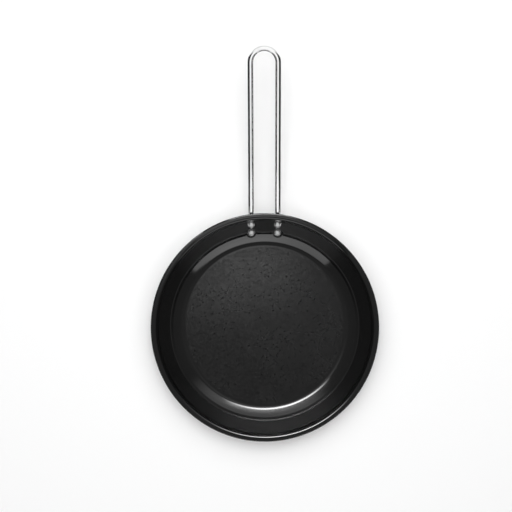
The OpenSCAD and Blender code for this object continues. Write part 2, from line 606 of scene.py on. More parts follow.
class SweptWire:
    """Sweeps a rounded section along a path with Geometry Nodes."""

    @staticmethod
    @cache
    def tree() -> Tree:
        """The sweeping tree, built once.

        Returns:
            The wrapped tree.
        """
        t = Tree.geometry("sweep_wire", {
            "Segments": "NodeSocketInt",
            "Material": "NodeSocketMaterial",
        })
        given = t.add("NodeGroupInput").outputs
        path = t.add("GeometryNodeMeshToCurve", given["Geometry"]).outputs[0]
        ring = Finisher.ring(t, given["Segments"], "around")
        tube = t.add("GeometryNodeCurveToMesh", path, ring, by_name={"Fill Caps": True}).outputs[0]
        angle = t.math("MULTIPLY", t.attribute("around", "FLOAT"), math.tau)
        power = t.math("DIVIDE", 2.0, t.attribute("squareness", "FLOAT"))
        parts = []
        for wave, half in (("COSINE", "half_w"), ("SINE", "half_t")):
            value = t.math(wave, angle)
            size = t.math("POWER", t.math("ABSOLUTE", value), power)
            signed = t.math("MULTIPLY", size, t.math("SIGN", value))
            parts.append(t.math("MULTIPLY", signed, t.attribute(half, "FLOAT")))
        wide = t.scaled(t.attribute("side", "FLOAT_VECTOR"), parts[0])
        thick = t.scaled(t.attribute("out", "FLOAT_VECTOR"), parts[1])
        spot = t.vector("ADD", t.attribute("centre", "FLOAT_VECTOR"), t.vector("ADD", wide, thick))
        spent = ("side", "out", "centre", "half_w", "half_t", "squareness")
        Finisher.end(t, tube, spot, given["Material"], spent)
        return t

    @classmethod
    def build(cls, name: str, marks: dict[str, np.ndarray], segments: int,
              material: bpy.types.Material) -> bpy.types.Object:
        """Sweeps the section along a path.

        Args:
            name: The piece's name.
            marks: half_w, half_t, squareness, along, centre, side and out for each path point.
            segments: How many points the section has.
            material: The finish.

        Returns:
            The finished piece.
        """
        chain = Finisher.chain(name + "_path", [tuple(c) for c in marks["centre"]], marks)
        return Finisher.realise(name, chain, cls.tree(), {"Segments": segments, "Material": material})


class Finisher:
    """The steps that every Geometry Nodes piece shares."""

    CREASE = math.radians(40)
    MERGE = MM / 1000

    @staticmethod
    def chain(name: str, points: list[tuple[float, float, float]],
              marks: dict[str, np.ndarray]) -> bpy.types.Mesh:
        """Makes a mesh of edges in a row that carries attributes.

        Args:
            name: The mesh's name.
            points: The points in order.
            marks: The attributes by name, each with a number or a vector for every point.

        Returns:
            The mesh.
        """
        mesh = bpy.data.meshes.new(name)
        mesh.from_pydata(points, [(i, i + 1) for i in range(len(points) - 1)], [])
        for label, values in marks.items():
            flat = np.asarray(values, np.float32)
            kind, key = ("FLOAT", "value") if flat.ndim == 1 else ("FLOAT_VECTOR", "vector")
            mesh.attributes.new(label, kind, "POINT").data.foreach_set(key, flat.ravel())
        return mesh

    @staticmethod
    def ring(t: Tree, segments: bpy.types.NodeSocket, label: str) -> bpy.types.NodeSocket:
        """A small circle whose points carry their share of the turn.

        Args:
            t: The tree.
            segments: How many points the circle has.
            label: The attribute that holds the share.

        Returns:
            The circle.
        """
        ring = t.add("GeometryNodeCurvePrimitiveCircle", segments, by_name={"Radius": MM}).outputs[0]
        share = t.add("GeometryNodeSplineParameter").outputs["Factor"]
        return t.add("GeometryNodeStoreNamedAttribute", ring, data_type="FLOAT", domain="POINT",
                     by_name={"Name": label, "Value": share}).outputs[0]

    @classmethod
    def end(cls, t: Tree, shape: bpy.types.NodeSocket, spot: bpy.types.NodeSocket,
            material: bpy.types.NodeSocket, spent: tuple[str, ...]) -> None:
        """Ends a tree: points move to their places and merge, and the finish is set.

        Args:
            t: The tree.
            shape: The shape so far.
            spot: The place of each point.
            material: The finish's socket.
            spent: Names of the attributes that the mesh no longer needs.
        """
        shape = t.add("GeometryNodeSetPosition", shape, by_name={"Position": spot}).outputs[0]
        shape = t.add("GeometryNodeMergeByDistance", shape, by_name={"Distance": cls.MERGE}).outputs[0]
        for name in spent:
            shape = t.add("GeometryNodeRemoveAttribute", shape, by_name={"Name": name}).outputs[0]
        shape = t.add("GeometryNodeSetShadeSmooth", shape).outputs[0]
        shape = t.add("GeometryNodeRealizeInstances", shape).outputs[0]
        shape = t.add("GeometryNodeSetMaterial", shape, by_name={"Material": material}).outputs[0]
        t.add("NodeGroupOutput", shape)

    @classmethod
    def realise(cls, name: str, base: bpy.types.Mesh, t: Tree, inputs: dict[str, object]) -> bpy.types.Object:
        """Runs a tree on a mesh and keeps the result as a plain mesh.

        Args:
            name: The piece's name.
            base: The mesh that the tree reads.
            t: The tree.
            inputs: Values for the tree's named inputs.

        Returns:
            An object that holds the plain mesh, with its normals pointing outwards.
        """
        maker = placed(name + "_maker", base)
        modifier = maker.modifiers.new(t.tree.name, "NODES")
        modifier.node_group = t.tree
        sockets = {item.name: item.identifier for item in t.tree.interface.items_tree
                   if item.item_type == "SOCKET" and item.in_out == "INPUT"}
        for label, value in inputs.items():
            modifier[sockets[label]] = value
        ready = maker.evaluated_get(bpy.context.evaluated_depsgraph_get())
        mesh = bpy.data.meshes.new_from_object(ready)
        mesh.name = name
        bpy.data.objects.remove(maker)
        bpy.data.meshes.remove(base)
        cls.point_outwards(mesh)
        return placed(name, mesh)

    @classmethod
    def point_outwards(cls, mesh: bpy.types.Mesh) -> None:
        """Turns the faces of a closed mesh outwards and shades it smooth up to the crease angle.

        Args:
            mesh: The mesh to mend.
        """
        work = bmesh.new()
        work.from_mesh(mesh)
        bmesh.ops.recalc_face_normals(work, faces=work.faces)
        work.to_mesh(mesh)
        work.free()
        mesh.shade_smooth()
        mesh.set_sharp_from_angle(angle=cls.CREASE)
        mesh.update()


class SharedEffects:
    """Shader groups that more than one finish uses."""

    BEND = 0.02
    SCRATCH_W = 0.012
    SCRATCHED = (0.5, 0.62)
    SMUDGED = (0.35, 0.7)

    @classmethod
    @cache
    def handling(cls) -> bpy.types.NodeTree:
        """Smudges and hairline scratches: soft patches and thin broken lines.

        Returns:
            The group.
        """
        t = Tree.shader_group("handling_marks", {"Patch Scale": 30.0, "Scratch Scale": 60.0},
                              ("Smudge", "Scratch"))
        given = t.add("NodeGroupInput").outputs
        patch = t.noise(given["Vector"], given["Patch Scale"], detail=3.0, roughness=0.6).outputs["Fac"]
        bent = t.noise(given["Vector"], given["Patch Scale"], detail=1.0).outputs["Color"]
        cells = t.add("ShaderNodeTexVoronoi", feature="DISTANCE_TO_EDGE", by_name={
            "Vector": t.vector("ADD", given["Vector"], t.scaled(bent, cls.BEND)),
            "Scale": given["Scratch Scale"]})
        thin = t.span(cells.outputs["Distance"], 0.0, cls.SCRATCH_W, 1.0, 0.0)
        result = t.add("NodeGroupOutput")
        t.feed(result.inputs["Smudge"], t.span(patch, *cls.SMUDGED))
        t.feed(result.inputs["Scratch"], t.math("MULTIPLY", thin, t.span(patch, *cls.SCRATCHED)))
        return t.tree

    @staticmethod
    @cache
    def grain() -> bpy.types.NodeTree:
        """Fine parallel lines that the first axis of Vector crosses, as tools leave them in steel.

        Returns:
            The group.
        """
        t = Tree.shader_group("tool_lines", {"Scale": 4000.0, "Stretch": 0.02}, ("Lines",))
        given = t.add("NodeGroupInput").outputs
        parts = t.add("ShaderNodeSeparateXYZ", given["Vector"]).outputs
        squeezed = t.add("ShaderNodeCombineXYZ", parts[0], t.math("MULTIPLY", parts[1], given["Stretch"]),
                         t.math("MULTIPLY", parts[2], given["Stretch"])).outputs[0]
        lines = t.noise(squeezed, given["Scale"], detail=2.0, roughness=0.7).outputs["Fac"]
        t.feed(t.add("NodeGroupOutput").inputs["Lines"], lines)
        return t.tree


@dataclass(frozen=True)
class CoatingFinish:
    """Black non-stick coating: smooth on the walls, with a fine texture and mica on the floor.

    Seen in the mirror of another wall, the floor is plainer, so that its texture makes no noise there.
    """

    colour: float = 0.0025
    colour_worn: float = 0.0035
    specular_level: float = 0.16
    wall_roughness: float = 0.09
    floor_roughness: float = 0.25
    outside_roughness: float = 0.3
    roughness_again: float = 0.06
    smudge_roughness: float = 0.02
    scratch_roughness: float = 0.02
    patch_scale: float = 26.0
    scratch_scale: float = 45.0
    texture_scale: float = 850.0
    texture_height: float = 0.00024
    texture_again: float = 0.1
    speck_scale: float = 340.0
    speck_share: float = 0.6
    peel_scale: float = 260.0
    peel_share: float = 0.05
    mica_scale: float = 480.0
    mica_share: float = 0.4
    mica_spread: tuple[float, float] = (0.3, 0.7)
    texture_edge: tuple[float, float] = (0.6, 3.2)

    def build(self, pan: PanSizes) -> bpy.types.Material:
        """Makes the coating.

        Args:
            pan: The pan whose floor the texture covers.

        Returns:
            The material.
        """
        t, shader, material = Tree.finish("black_coating")
        place = t.add("ShaderNodeTexCoord").outputs["Object"]
        inside = t.add("ShaderNodeAttribute", attribute_name="inside").outputs["Fac"]
        edge = [(pan.floor_flat_r + e) * MM for e in self.texture_edge]
        floor = t.math("MULTIPLY", t.span(t.axis_distance(place), *edge, 1.0, 0.0), inside)
        again = t.math("GREATER_THAN", t.add("ShaderNodeLightPath").outputs["Glossy Depth"], 0.5)
        marks = t.group(SharedEffects.handling(), Vector=place, Patch_Scale=self.patch_scale,
                        Scratch_Scale=self.scratch_scale).outputs
        fleck = t.noise(place, self.texture_scale, detail=3.0, roughness=0.65).outputs["Fac"]
        speck = t.noise(place, self.speck_scale, detail=1.0).outputs["Fac"]
        texture = t.math("MULTIPLY_ADD", speck, self.speck_share, fleck)
        texture = t.math("MULTIPLY", texture, t.mix(again, 1.0, self.texture_again))
        peel = t.noise(place, self.peel_scale, detail=1.0).outputs["Fac"]
        relief = t.mix(floor, t.math("MULTIPLY", peel, self.peel_share), texture)
        t.feed(shader.inputs["Normal"], t.bump(relief, self.texture_height))
        sides = t.span(inside, 0.0, 1.0, self.outside_roughness, self.wall_roughness)
        ground = t.math("MULTIPLY_ADD", again, self.roughness_again, self.floor_roughness)
        rough = t.math("MULTIPLY_ADD", marks["Smudge"], self.smudge_roughness, t.mix(floor, sides, ground))
        rough = t.math("MULTIPLY_ADD", marks["Scratch"], self.scratch_roughness, rough)
        t.feed(shader.inputs["Roughness"], rough)
        colour = t.grey(marks["Smudge"], self.colour, self.colour_worn)
        t.feed(shader.inputs["Base Color"], colour)
        mica = t.noise(place, self.mica_scale, detail=2.0, roughness=0.7).outputs["Fac"]
        levels = [self.specular_level * (1 + self.mica_share * sign) for sign in (-1, 1)]
        sheen = t.span(mica, *self.mica_spread, *levels, smooth=False)
        t.feed(shader.inputs["Specular IOR Level"], t.mix(floor, self.specular_level, sheen))
        return material


@dataclass(frozen=True)
class SteelFinish:
    """Bare or polished steel with the lines that its making leaves."""

    name: str
    colour: float
    roughness: float
    line_scale: float
    line_height: float
    lines: Lines
    wire_r: float = 2.4
    worn_colour: float = 0.94
    plain_roughness: float = 0.7
    line_roughness: float = 0.5
    smudge_roughness: float = 0.3
    scratch_depth: float = 0.4
    patch_scale: float = 60.0
    scratch_scale: float = 150.0

    def crossing(self, t: Tree, place: bpy.types.NodeSocket) -> bpy.types.NodeSocket:
        """Coordinates whose first axis crosses the tool lines.

        Args:
            t: The material's tree.
            place: The place in Object coordinates.

        Returns:
            The coordinates.
        """
        if self.lines is Lines.TURNED:
            return t.add("ShaderNodeCombineXYZ", t.axis_distance(place)).outputs[0]
        around, along = (t.add("ShaderNodeAttribute", attribute_name=name).outputs["Fac"]
                         for name in ("around", "along"))
        turn = t.math("MULTIPLY", around, math.tau)
        x, z = (t.math("MULTIPLY", t.math(wave, turn), self.wire_r * MM) for wave in ("SINE", "COSINE"))
        return t.add("ShaderNodeCombineXYZ", x, along, z).outputs[0]

    def build(self) -> bpy.types.Material:
        """Makes the steel.

        Returns:
            The material.
        """
        t, shader, material = Tree.finish(self.name)
        place = t.add("ShaderNodeTexCoord").outputs["Object"]
        lines = t.group(SharedEffects.grain(), Vector=self.crossing(t, place),
                        Scale=self.line_scale).outputs["Lines"]
        marks = t.group(SharedEffects.handling(), Vector=place, Patch_Scale=self.patch_scale,
                        Scratch_Scale=self.scratch_scale).outputs
        colour = t.grey(marks["Smudge"], self.colour, self.colour * self.worn_colour)
        t.feed(shader.inputs["Base Color"], colour)
        rough = t.math("MULTIPLY_ADD", lines, self.roughness * self.line_roughness,
                       self.roughness * self.plain_roughness)
        rough = t.math("MULTIPLY_ADD", marks["Smudge"], self.roughness * self.smudge_roughness, rough)
        t.feed(shader.inputs["Roughness"], rough)
        worn = t.math("MULTIPLY_ADD", marks["Scratch"], -self.scratch_depth, lines)
        t.feed(shader.inputs["Normal"], t.bump(worn, self.line_height))
        shader.inputs["Metallic"].default_value = 1.0
        return material


def dress(piece: bpy.types.Object, slot: Slot, *nodes: str) -> None:
    """Hands a finished piece to the frame.

    Args:
        piece: The piece.
        slot: The record's slot that the piece stands for; not used.
        nodes: The CAD nodes that it stands for.
    """
    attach(piece, BODY)
    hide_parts(*nodes)
    LOG.info("%s: %d vertices, stands for %s", piece.name, len(piece.data.vertices), ", ".join(nodes))


@dataclass
class PanShell:
    """The pressed pan with its coating.

    A small riser and shelf stand in place of the CAD's flat ledge, since the photographed ledge doesn't
    shine. pad_foot and pad_head say between which heights up the pad the flattening sets in and ends.
    """

    sizes: PanSizes
    joint: JointSizes
    pad: PadFrame
    segments: int = 480
    crowding: float = 0.6
    arc_step: float = 3.0
    floor_step: float = 6.0
    wall_step: float = 1.1
    outside_arc_step: float = 4.8
    outside_step: float = 2.6
    floor_margin: float = 1.0
    sag_share: float = 0.62
    wall_sag: float = 0.16
    wall_sag_r: float = 50.0
    riser_w: float = 2.2
    riser_h: float = 2.09
    shelf_w: float = 0.6
    shelf_h: float = 0.12
    shelf_r: float = 0.35
    edge_clear: float = 0.01
    recess_edge_r: float = 0.2
    recess_corner_r: float = 0.1
    recess_ring_w: float = 8.0
    press_blend: float = 0.35
    pad_foot: tuple[float, float] = (-1.6, -0.4)
    pad_foot_outside: tuple[float, float] = (-6.0, -4.5)
    pad_head: tuple[float, float] = (-0.6, 1.6)
    seat_blend: float = 0.9
    seat_depth: float = 3.0

    def inner_outline(self) -> np.ndarray:
        """The inner face from the floor's middle to the lip's outer edge.

        Returns:
            Radius and height of each point.
        """
        s = self.sizes
        corners = s.inner_corners()
        floor_end = (s.floor_flat_r - self.floor_margin, s.floor_z)
        floor = Outline((0.0, s.floor_z), self.arc_step, self.floor_step).to(*floor_end)
        wall = Outline(floor_end, self.arc_step, self.wall_step).to(*corners[1])
        middle_r = s.foot_r + s.lower_w * self.sag_share + self.wall_sag * math.sin(s.lower_slope)
        middle_z = s.floor_z + s.lower_h * self.sag_share - self.wall_sag * math.cos(s.lower_slope)
        wall.to(middle_r, middle_z, self.wall_sag_r).to(s.ledge_r, s.ledge_z, s.ledge_edge_r)
        riser_r, riser_z = s.ledge_r + self.riser_w, s.ledge_z + self.riser_h
        wall.to(riser_r, riser_z, self.shelf_r)
        wall.to(riser_r + self.shelf_w, riser_z + self.shelf_h, self.shelf_r)
        for corner in corners[4:]:
            wall.to(*corner)
        edge_r, edge_z, radius = s.outer_corners()[0]
        wall.to(edge_r, edge_z + s.sheet_t - radius - self.edge_clear)
        return np.vstack([floor.points(), wall.points()[1:]])

    def outer_outline(self, start: np.ndarray) -> np.ndarray:
        """The outer face from the lip's edge to the middle of the disc's recess.

        Args:
            start: The inner face's last point.

        Returns:
            Radius and height of each point after start.
        """
        s = self.sizes
        outer = Outline((start[0], start[1]), self.outside_arc_step, self.outside_step)
        for corner in s.outer_corners():
            outer.to(*corner)
        recess_r, recess_z = s.disc_r + s.disc_fit, s.disc_t + s.seat_gap
        outer.to(recess_r, s.disc_proud, self.recess_edge_r).to(recess_r, recess_z, self.recess_corner_r)
        outer.to(recess_r - self.recess_ring_w, recess_z).to(0.0, recess_z)
        return outer.points()[1:]

    def press_pad(self, mesh: bpy.types.Mesh) -> None:
        """Flattens the wall at the handle and seats the dome heads.

        Args:
            mesh: The turned shell, whose "outside" attribute is 1 on the outer face.
        """
        count = len(mesh.vertices)
        places = np.zeros(count * 3)
        mesh.vertices.foreach_get("co", places)
        places = places.reshape(-1, 3) / MM
        outside = np.zeros(count, np.float32)
        mesh.attributes["outside"].data.foreach_get("value", outside)
        away = places - self.pad.origin
        depth, height = away @ self.pad.out, away @ self.pad.up
        top = (self.sizes.rim_z - self.sizes.wall_z - self.sizes.sheet_t) / math.sin(self.sizes.wall_slope)
        near = (places[:, 1] > 0) & (np.abs(places[:, 0]) < self.sizes.pad_w)
        limit = outside * self.sizes.sheet_t
        gap = depth - limit
        k = self.press_blend
        pressed = np.where(gap > -k, limit - np.maximum(k - gap, 0) ** 2 / (4 * k), depth)
        pressed = np.where(gap < k, np.minimum(pressed, depth), limit)
        foot = np.where(outside > 0.5, smoothstep(*self.pad_foot_outside, height),
                        smoothstep(*self.pad_foot, height))
        reach = foot * (1 - smoothstep(top + self.pad_head[0], top + self.pad_head[1], height))
        move = np.where(near, (pressed - depth) * reach, 0)
        depth = depth + move
        seat_r = self.joint.head_d / 2 + self.joint.head_fit
        for side in Side:
            off = np.hypot(places[:, 0] - side.value * self.joint.leg_x, height - self.joint.rivet_low)
            seat = near & (outside < 0.5) & (depth < 0) & (depth > -self.seat_depth)
            share = 1 - smoothstep(seat_r, seat_r + self.seat_blend, off)
            lift = np.where(seat, -depth * share, 0)
            depth, move = depth + lift, move + lift
        places = places + move[:, None] * self.pad.out
        mesh.vertices.foreach_set("co", (places * MM).ravel())
        mesh.update()

    def build(self) -> bpy.types.Object:
        """Makes and dresses the pan.

        Returns:
            The finished piece.
        """
        inner = self.inner_outline()
        outer = self.outer_outline(inner[-1])
        outline = np.vstack([inner, outer])
        outside = np.concatenate([np.zeros(len(inner)), np.ones(len(outer))])
        marks = {"outside": outside, "inside": 1 - outside}
        finish = CoatingFinish().build(self.sizes)
        piece = TurnedForm.build("pan_shell", outline, self.segments, finish, self.crowding, marks)
        self.press_pad(piece.data)
        piece.data.attributes.remove(piece.data.attributes["outside"])
        dress(piece, Slot.COATED_PAN, "pan_body")
        return piece


@dataclass
class BaseDisc:
    """The steel disc under the pan, with turned grooves."""

    sizes: PanSizes
    arc_step: float = 15.0
    longest: float = 20.0
    chamfer: float = 0.3
    edge_r: float = 0.1
    groove_pitch: float = 3.0
    groove_depth: float = 0.18
    groove_w: float = 0.9
    groove_slant: float = 0.3
    groove_r: float = 0.15
    plain_edge: float = 3.0
    plain_middle: float = 5.0
    segments: int = 256

    def outline(self) -> np.ndarray:
        """The disc's section, from its underside's middle round to its top's middle.

        Returns:
            Radius and height of each point.
        """
        s = self.sizes
        path = Outline((0.0, 0.0), self.arc_step, self.longest)
        r = self.plain_middle
        while r < s.disc_r - self.plain_edge:
            path.to(r, 0.0, self.edge_r)
            path.to(r + self.groove_w * self.groove_slant, self.groove_depth, self.groove_r)
            path.to(r + self.groove_w * (1 - self.groove_slant), self.groove_depth, self.groove_r)
            path.to(r + self.groove_w, 0.0, self.edge_r)
            r += self.groove_pitch
        path.to(s.disc_r - self.chamfer, 0.0, self.edge_r).to(s.disc_r, self.chamfer, self.edge_r)
        path.to(s.disc_r, s.disc_t, self.edge_r).to(0.0, s.disc_t)
        return path.points()

    def build(self) -> bpy.types.Object:
        """Makes and dresses the disc.

        Returns:
            The finished piece.
        """
        finish = SteelFinish("base_steel", colour=0.55, roughness=0.3, line_scale=2500.0,
                             line_height=0.00003, lines=Lines.TURNED).build()
        piece = TurnedForm.build("base_disc", self.outline(), self.segments, finish)
        dress(piece, Slot.BASE_STEEL, "base_plate")
        return piece


@dataclass
class Handle:
    """The bent wire, with a flattened end at each side of the pad."""

    pan: PanSizes
    joint: JointSizes
    pad: PadFrame
    tab_step: float = 0.72
    leg_step: float = 3.6
    bend_step: float = 4.0
    segments: int = 40
    flat_squareness: float = 3.2
    round_squareness: float = 2.0
    blend: float = 1.5
    edge_w: float = 0.6
    edge_least: float = 0.05
    past_tab: float = 99.0
    end_rises: tuple[float, ...] = (0.02, 0.1, 0.25, 0.5, 0.85, 1.3, 1.9, 2.6, 3.4)
    tab_clear: float = 4.4
    flat_end: float = field(init=False)
    bend_start: float = field(init=False)

    def __post_init__(self) -> None:
        """Works out how far up the pad the flattened ends reach."""
        j = self.joint
        self.flat_end = j.rivet_low + j.rivet_pitch + j.tab_top
        self.bend_start = self.flat_end + j.taper_len

    def half_path(self) -> list[tuple[np.ndarray, float, float]]:
        """The right half's centre line, from the flattened end to the leg's far end.

        Returns:
            For each point: its place, its angle above level in radians, and its height up the pad.
        """
        j = self.joint
        slope = self.pan.wall_slope
        tab_out = self.pan.sheet_t + self.pan.seat_gap
        flat_out = tab_out + j.tab_t / 2
        wire_out = tab_out + j.wire_d / 2
        low = j.rivet_low - j.tab_w / 2
        ups = [low + rise for rise in self.end_rises]
        ups += [*np.arange(low + self.tab_clear, self.bend_start, self.tab_step), self.bend_start]
        path = []
        for up in ups:
            share = float(smoothstep(self.flat_end - self.blend, self.bend_start, np.array(up)))
            path.append((self.pad.point(j.leg_x, flat_out + (wire_out - flat_out) * share, up), slope, up))
        centre = self.pad.point(j.leg_x, wire_out + j.bend_r, self.bend_start)
        angle = math.radians(j.handle_angle)
        steps = math.ceil(math.degrees(slope - angle) / self.bend_step)
        for k in range(1, steps + 1):
            beta = slope + (angle - slope) * k / steps
            path.append((centre - j.bend_r * self._down(beta), beta, self.bend_start + k))
        start = path[-1][0]
        count = math.ceil(j.leg_len / self.leg_step)
        for k in range(1, count + 1):
            path.append((start + self._along(angle) * j.leg_len * k / count, angle, self.past_tab))
        return path

    def _along(self, angle: float) -> np.ndarray:
        """The direction that rises by angle towards +Y."""
        return np.array((0.0, math.cos(angle), math.sin(angle)))

    def _down(self, angle: float) -> np.ndarray:
        """The direction square to that, on the wire's lower or outer side."""
        return np.array((0.0, math.sin(angle), -math.cos(angle)))

    def build(self) -> bpy.types.Object:
        """Makes and dresses the handle.

        Returns:
            The finished piece.
        """
        j = self.joint
        right = self.half_path()
        angle = math.radians(j.handle_angle)
        ahead, down = self._along(angle), self._down(angle)
        across = np.array((1.0, 0.0, 0.0))
        middle = right[-1][0] * np.array((0.0, 1.0, 1.0))
        rows = [(p, across, self._down(a), up) for p, a, up in right]
        turns = np.radians(np.arange(self.bend_step, 180, self.bend_step))
        for phi in turns:
            side = math.cos(phi) * across + math.sin(phi) * ahead
            rows.append((middle + j.leg_x * side, side, down, rows[-1][3]))
        mirror = np.array((-1.0, 1.0, 1.0))
        rows += [(p * mirror, -across, self._down(a), up) for p, a, up in reversed(right)]
        centre = np.array([r[0] for r in rows])
        up = np.array([r[3] for r in rows])
        share = smoothstep(self.flat_end - self.blend, self.bend_start + self.blend, up)
        half = j.tab_w / 2
        from_end = np.clip(up - (j.rivet_low - half), 0, half)
        round_end = np.sqrt(np.maximum(half**2 - (half - from_end) ** 2, 0))
        edge = np.sqrt(np.clip(from_end / self.edge_w, self.edge_least, 1))
        marks = {
            "half_w": (round_end * (1 - share) + j.wire_d / 2 * share) * MM,
            "half_t": (j.tab_t / 2 * edge * (1 - share) + j.wire_d / 2 * share) * MM,
            "squareness": self.flat_squareness * (1 - share) + self.round_squareness * share,
            "along": np.concatenate([[0], np.cumsum(np.linalg.norm(np.diff(centre, axis=0), axis=1))]) * MM,
            "centre": centre * MM,
            "side": np.array([r[1] for r in rows]),
            "out": np.array([r[2] for r in rows]),
        }
        finish = SteelFinish("wire_steel", colour=0.96, roughness=0.1, line_scale=5000.0,
                             line_height=0.000002, lines=Lines.SWEPT).build()
        piece = SweptWire.build("wire_loop", marks, self.segments, finish)
        dress(piece, Slot.WIRE_STEEL, "wire_handle")
        return piece


@dataclass
class Rivets:
    """The four rivets, each with a dome head inside and a formed head outside."""

    pan: PanSizes
    joint: JointSizes
    pad: PadFrame
    segments: int = 96
    dome_steps: int = 22
    edge_w: float = 0.12
    edge_h: float = 0.03

    def outline(self) -> np.ndarray:
        """One rivet's section, with its axis on Z: the dome head below, the formed head above.

        Returns:
            Radius and height of each point.
        """
        j, gap = self.joint, self.pan.seat_gap
        grip = self.pan.sheet_t + gap + j.tab_t + gap
        head = self._dome(j.head_d, j.head_h)
        tail = self._dome(j.tail_d, j.tail_h)
        below = [(r, -gap - z) for r, z in reversed(head)]
        shank = [(j.shank_d / 2, -gap), (j.shank_d / 2, grip)]
        above = [(r, grip + z) for r, z in tail]
        return np.array(below + shank + above)

    def _dome(self, width: float, height: float) -> list[tuple[float, float]]:
        """Points from a dome's rim up to its crown, as radius and height.

        Args:
            width: The dome's diameter.
            height: Its height.

        Returns:
            The points in order.
        """
        sphere_r = (width**2 / 4 + height**2) / (2 * height)
        rim = math.acos((sphere_r - height) / sphere_r)
        rim = rim if height <= sphere_r else math.pi - rim
        points = [(width / 2 - self.edge_w, 0.0), (width / 2 - self.edge_h, self.edge_h)]
        for k in range(1, self.dome_steps + 1):
            a = rim * (1 - k / self.dome_steps)
            points.append((sphere_r * math.sin(a), height - sphere_r + sphere_r * math.cos(a)))
        return points

    def build(self) -> list[bpy.types.Object]:
        """Makes, places and dresses the four rivets.

        Returns:
            The finished pieces.
        """
        finish = SteelFinish("rivet_steel", colour=0.52, roughness=0.22, line_scale=2500.0,
                             line_height=0.000003, lines=Lines.TURNED).build()
        turn = Matrix([[1, 0, 0], [0, 0, 1], [0, -1, 0]]).to_4x4()
        pieces = []
        for row in Row:
            for side in Side:
                name = f"rivet_{row.name.lower()}_{side.name.lower()}"
                piece = TurnedForm.build(name + "_polished", self.outline(), self.segments, finish)
                up = self.joint.rivet_low + row.value * self.joint.rivet_pitch
                spot = self.pad.point(side.value * self.joint.leg_x, 0.0, up) * MM
                axes = Matrix([self.pad.across, self.pad.out, self.pad.up]).transposed().to_4x4()
                piece.data.transform(Matrix.Translation(spot) @ axes @ turn)
                dress(piece, Slot.RIVET_STEEL, name)
                pieces.append(piece)
        return pieces


@dataclass(frozen=True)
class Lamp:
    """A round soft lamp over the pan, seen by its light alone.

    The radius and distance are in metres. The tilts from straight above, towards +Y and -X, are in
    degrees. The level is what a white floor shows of its light.
    """

    name: str
    radius: float
    north: float
    west: float
    level: float
    distance: float = 1.5

    def hang(self) -> None:
        """Puts the lamp in the scene."""
        data = bpy.data.lights.new(self.name, "AREA")
        data.shape = "DISK"
        data.size = 2 * self.radius
        data.energy = self.level * math.pi**2 * (self.distance**2 + self.radius**2)
        lamp = placed(self.name, data)
        tilts = (-math.tan(math.radians(self.west)), math.tan(math.radians(self.north)))
        way = Vector((*tilts, 1.0)).normalized()
        lamp.location = way * self.distance
        lamp.rotation_mode = "QUATERNION"
        lamp.rotation_quaternion = way.to_track_quat("Z", "Y")
        lamp.visible_glossy = False
        lamp.visible_camera = False


@dataclass(frozen=True)
class Card:
    """A four-cornered card that only mirror images show.

    The corners are in metres and in order. A radiance of 1 shows as white. soft is the share of the
    half width over which the light fades out at the edges. again is the factor on the radiance in a
    mirror image of a mirror image. With pan_only the steel parts look through the card. reach is how
    near a surface must be to mirror it, in metres, and 0 stands for any distance.
    """

    name: str
    corners: Places
    radiance: float
    soft: float = 0.0
    again: float = 1.0
    pan_only: bool = True
    reach: float = 0.0

    def material(self) -> bpy.types.Material:
        """Makes the card's glow.

        Returns:
            The material.
        """
        t, material = Tree.material(self.name)
        path = t.add("ShaderNodeLightPath").outputs
        level = t.span(path["Glossy Depth"], 1.0, 2.0, self.radiance, self.radiance * self.again,
                       smooth=False)
        if self.soft:
            spot = t.add("ShaderNodeSeparateXYZ", t.add("ShaderNodeTexCoord").outputs["UV"]).outputs
            for axis in (spot[0], spot[1]):
                off = t.math("ABSOLUTE", t.math("MULTIPLY_ADD", axis, 2.0, -1.0))
                level = t.math("MULTIPLY", level, t.span(off, 1.0 - self.soft, 1.0, 1.0, 0.0))
        surface = t.add("ShaderNodeEmission", WHITE, level).outputs[0]
        clear = t.add("ShaderNodeBsdfTransparent").outputs[0]
        if self.pan_only:
            surface = t.add("ShaderNodeAddShader", clear, surface).outputs[0]
        if self.reach:
            far = t.math("GREATER_THAN", path["Ray Length"], self.reach)
            surface = t.add("ShaderNodeMixShader", far, surface, clear).outputs[0]
        t.add("ShaderNodeOutputMaterial", surface)
        return material

    def hang(self, pan_alone: bpy.types.Collection) -> None:
        """Puts the card in the scene.

        Args:
            pan_alone: The collection that holds the pan and none of its steel parts.
        """
        card = quad(self.name, self.corners, self.material())
        flat = card.data.uv_layers.new(name="card")
        for i, place in enumerate(((0, 0), (1, 0), (1, 1), (0, 1))):
            flat.data[i].uv = place
        card.visible_camera = False
        card.visible_diffuse = False
        card.visible_transmission = False
        card.visible_shadow = False
        if self.pan_only:
            card.light_linking.receiver_collection = pan_alone


def quad(name: str, corners: Places, material: bpy.types.Material) -> bpy.types.Object:
    """Makes a flat sheet.

    Args:
        name: The sheet's name.
        corners: Its four corners in order, in metres.
        material: Its material.

    Returns:
        The sheet.
    """
    mesh = bpy.data.meshes.new(name)
    mesh.from_pydata(corners, [], [(0, 1, 2, 3)])
    mesh.materials.append(material)
    return placed(name, mesh)


def far_off(distance: float, *ways: tuple[float, float]) -> Places:
    """Places seen from the pan.

    Args:
        distance: Their distance, in metres.
        ways: Each one's direction clockwise from +Y and angle from straight above, in degrees.

    Returns:
        The places, in metres.
    """
    places = []
    for azimuth, zenith in np.radians(ways):
        flat = math.sin(zenith) * distance
        places.append((math.sin(azimuth) * flat, math.cos(azimuth) * flat, math.cos(zenith) * distance))
    return tuple(places)


